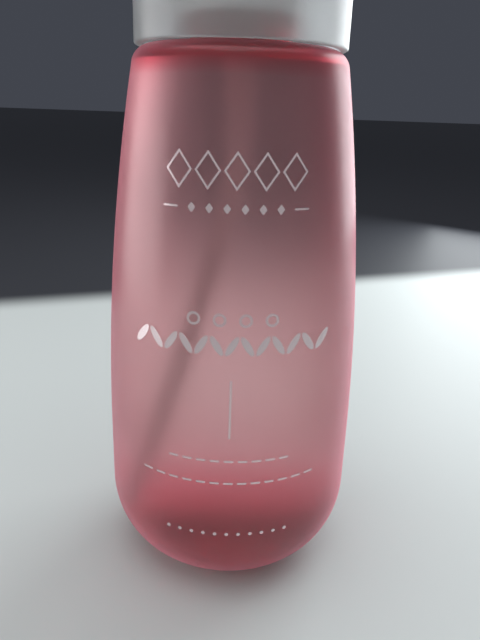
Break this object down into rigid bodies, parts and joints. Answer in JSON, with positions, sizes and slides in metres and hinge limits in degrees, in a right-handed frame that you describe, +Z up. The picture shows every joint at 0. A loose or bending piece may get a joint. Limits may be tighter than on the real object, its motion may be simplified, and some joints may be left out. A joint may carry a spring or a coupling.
{
  "type": "spray bottle",
  "caption": "Tapered round bottle in frosted rose plastic with a fine mist finger pump, a bent dip tube and a clear push-on overcap.",
  "frame": {"origin": "centre of the bottle's base, on the plane that it stands on", "axes": "+Z up along the bottle's axis; the nozzle looks along -Y; the dip tube bends towards -X"},
  "size_m": [0.0599, 0.0598, 0.1645],
  "materials": {
    "frosted_rose": "frosted translucent, tinted rose",
    "clear_cap": "undyed, hazy, satin outside",
    "white_plastic": "satin moulded",
    "natural_plastic": "milky, undyed",
    "soft_gasket": "soft foamed sheet",
    "spring_steel": "drawn wire",
    "ball_steel": "polished"
  },
  "bodies": {
    "bottle": {"bottle": "frosted_rose"},
    "pump": {"pump_housing": "natural_plastic", "neck_gasket": "soft_gasket", "turret": "white_plastic", "dip_tube": "natural_plastic", "return_spring": "spring_steel"},
    "closure": {"closure": "white_plastic"},
    "overcap": {"overcap": "clear_cap"},
    "plunger": {"stem": "white_plastic", "stem_plug": "natural_plastic"},
    "piston": {"piston": "natural_plastic"},
    "actuator": {"actuator": "white_plastic", "nozzle_insert": "natural_plastic"},
    "check_ball": {"check_ball": "ball_steel"}
  },
  "joints": [
    {"name": "pump_lift", "type": "slide", "parent": "bottle", "child": "pump", "axis": [0, 0, 1], "range_m": [0, 0.00478]},
    {"name": "closure_turn", "type": "hinge", "parent": "pump", "child": "closure", "pos_m": [0, 0, 0.135], "axis": [0, 0, 1], "range_deg": [0, 540]},
    {"name": "overcap_lift", "type": "slide", "parent": "closure", "child": "overcap", "axis": [0, 0, 1], "range_m": [0, 0.046]},
    {"name": "pump_stroke", "type": "slide", "parent": "pump", "child": "plunger", "axis": [0, 0, -1], "range_m": [0, 0.0045], "stiffness_N_per_m": 1000, "springref_m": -0.002, "deforming": ["return_spring"]},
    {"name": "piston_slip", "type": "slide", "parent": "plunger", "child": "piston", "axis": [0, 0, 1], "range_m": [0, 0.0008]},
    {"name": "actuator_turn", "type": "hinge", "parent": "plunger", "child": "actuator", "pos_m": [0, 0, 0.155], "axis": [0, 0, 1], "continuous": true},
    {"name": "ball_lift", "type": "slide", "parent": "pump", "child": "check_ball", "axis": [0, 0, 1], "range_m": [0, 0.001]}
  ],
  "couplings": [
    {"joint": "pump_lift", "follows": "closure_turn", "m_per_rad": 0.00050532}
  ]
}
